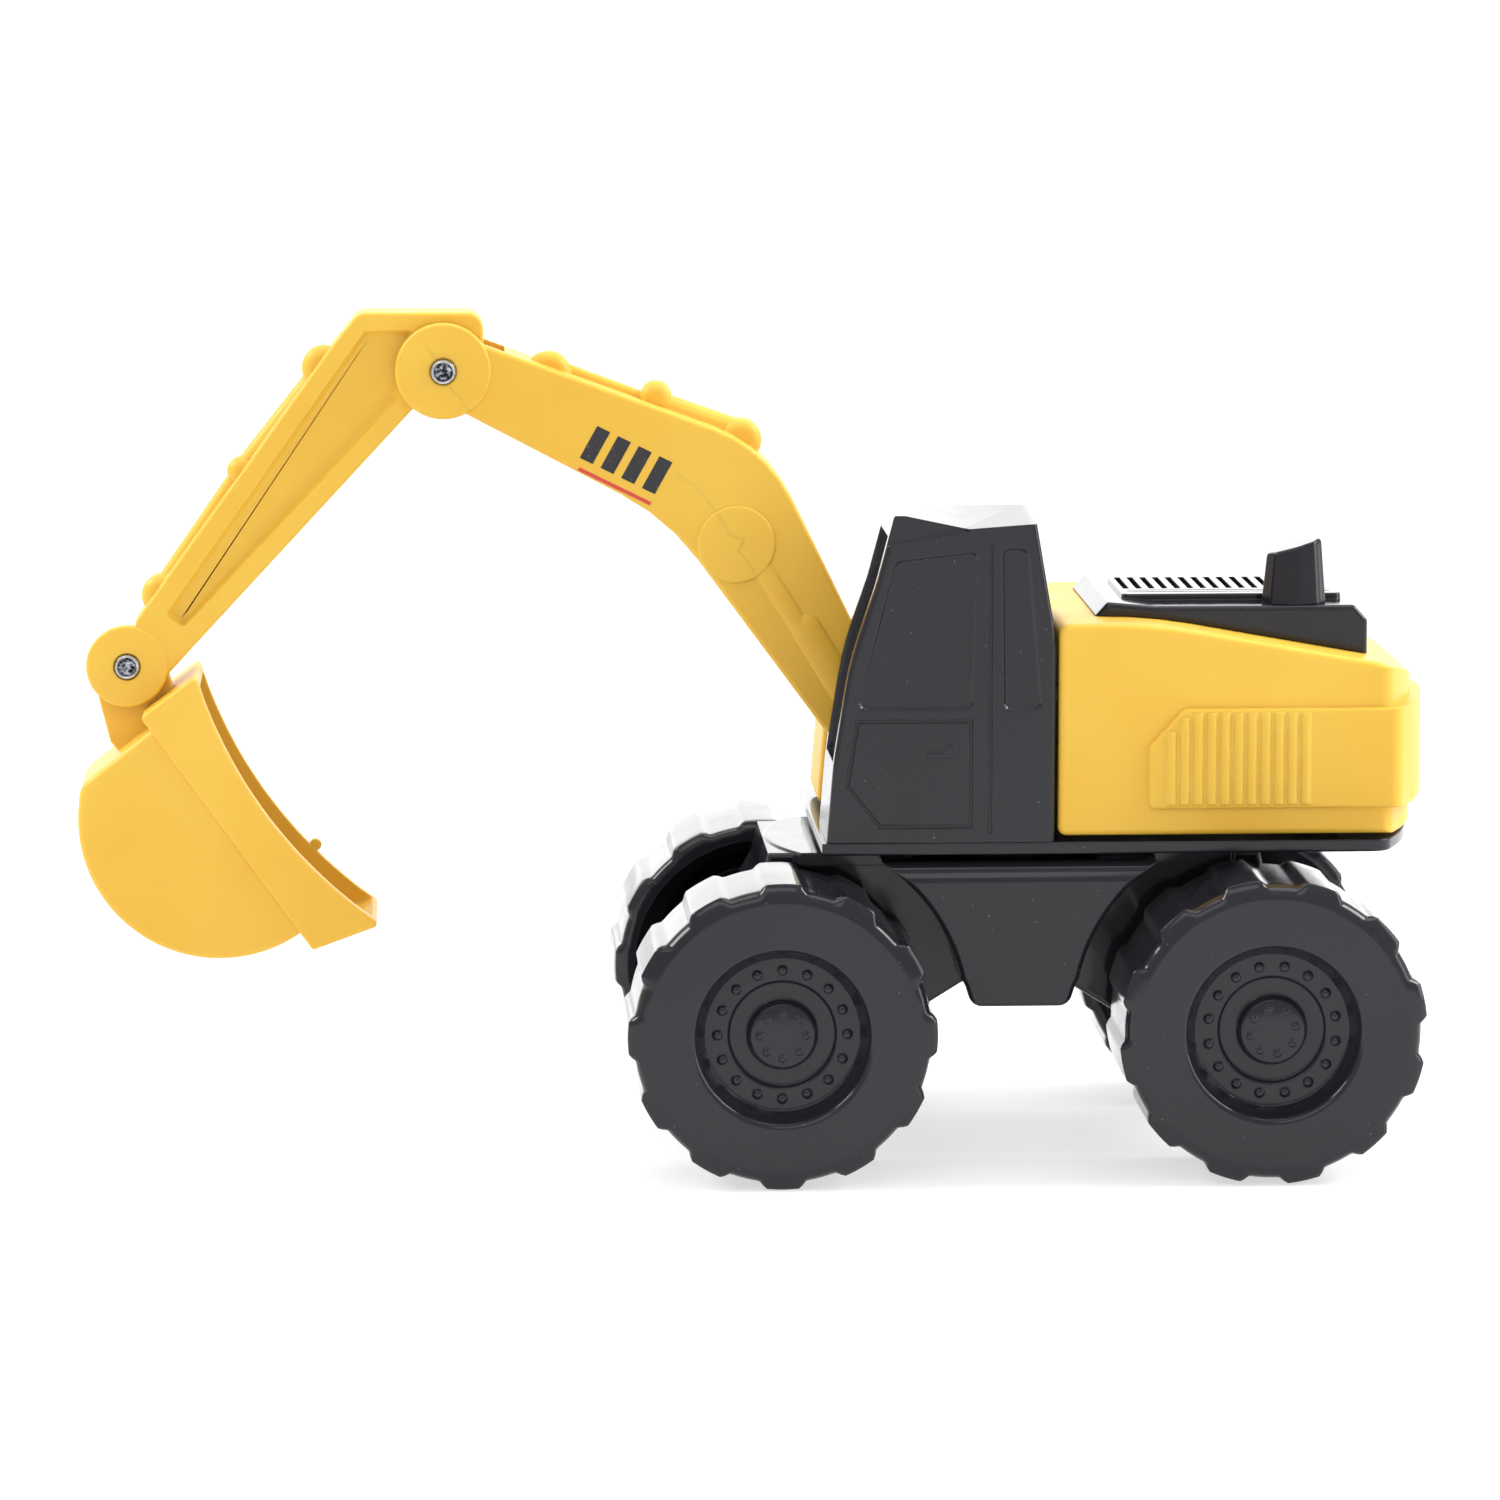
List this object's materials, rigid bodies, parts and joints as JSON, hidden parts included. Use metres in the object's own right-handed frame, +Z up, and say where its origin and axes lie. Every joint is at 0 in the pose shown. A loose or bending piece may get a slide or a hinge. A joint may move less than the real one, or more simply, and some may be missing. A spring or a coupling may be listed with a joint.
{
  "type": "toy excavator",
  "caption": "Plastic toy wheeled excavator with a turning cab deck, a hinged boom, stick and bucket, and free-rolling lugged wheels on steel axles.",
  "frame": {"origin": "centre of the chassis underside, on the vertical swivel axis and midway between the axles", "axes": "+Z up, -X towards the bucket (forwards), +X towards the engine end, -Y the cab side (the vehicle's left), +Y the far side"},
  "size_m": [0.2525, 0.104, 0.1575],
  "materials": {
    "yellow_plastic": "semi-gloss moulded",
    "black_plastic": "high gloss moulded",
    "steel": "bright zinc"
  },
  "bodies": {
    "chassis": {"chassis_shell": "black_plastic", "chassis_base": "black_plastic", "chassis_screw_front_left": "steel", "chassis_screw_front_right": "steel", "chassis_screw_rear_left": "steel", "chassis_screw_rear_right": "steel"},
    "front_wheelset": {"axle_front": "steel", "wheel_front_left": "black_plastic", "wheel_front_right": "black_plastic"},
    "rear_wheelset": {"axle_rear": "steel", "wheel_rear_left": "black_plastic", "wheel_rear_right": "black_plastic"},
    "turret": {"turret_deck": "black_plastic", "swivel_washer": "steel", "swivel_screw": "steel", "body_shell": "yellow_plastic", "cab_shell": "black_plastic", "engine_cover": "black_plastic", "exhaust_stack": "black_plastic", "boom_pin": "steel", "turret_screw_front_left": "steel", "turret_screw_front_right": "steel", "turret_screw_rear_left": "steel", "turret_screw_rear_right": "steel"},
    "boom_arm": {"boom": "yellow_plastic", "stick_pin": "steel"},
    "stick_arm": {"stick": "yellow_plastic", "bucket_pin": "steel"},
    "bucket_arm": {"bucket": "yellow_plastic"}
  },
  "joints": [
    {"name": "front_axle_roll", "type": "hinge", "parent": "chassis", "child": "front_wheelset", "pos_m": [-0.045, 0, -0.0028], "axis": [0, 1, 0], "continuous": true},
    {"name": "rear_axle_roll", "type": "hinge", "parent": "chassis", "child": "rear_wheelset", "pos_m": [0.045, 0, -0.0028], "axis": [0, 1, 0], "continuous": true},
    {"name": "turret_swivel", "type": "hinge", "parent": "chassis", "child": "turret", "pos_m": [0, 0, 0.0266], "axis": [0, 0, 1], "continuous": true},
    {"name": "boom_lift", "type": "hinge", "parent": "turret", "child": "boom_arm", "pos_m": [-0.019, 0, 0.0402], "axis": [0, 1, 0], "range_deg": [-20, 45]},
    {"name": "stick_swing", "type": "hinge", "parent": "boom_arm", "child": "stick_arm", "pos_m": [-0.1059, 0, 0.1155], "axis": [0, 1, 0], "range_deg": [-35, 42]},
    {"name": "bucket_curl", "type": "hinge", "parent": "stick_arm", "child": "bucket_arm", "pos_m": [-0.1652, 0, 0.0603], "axis": [0, 1, 0], "range_deg": [-15, 140]}
  ]
}
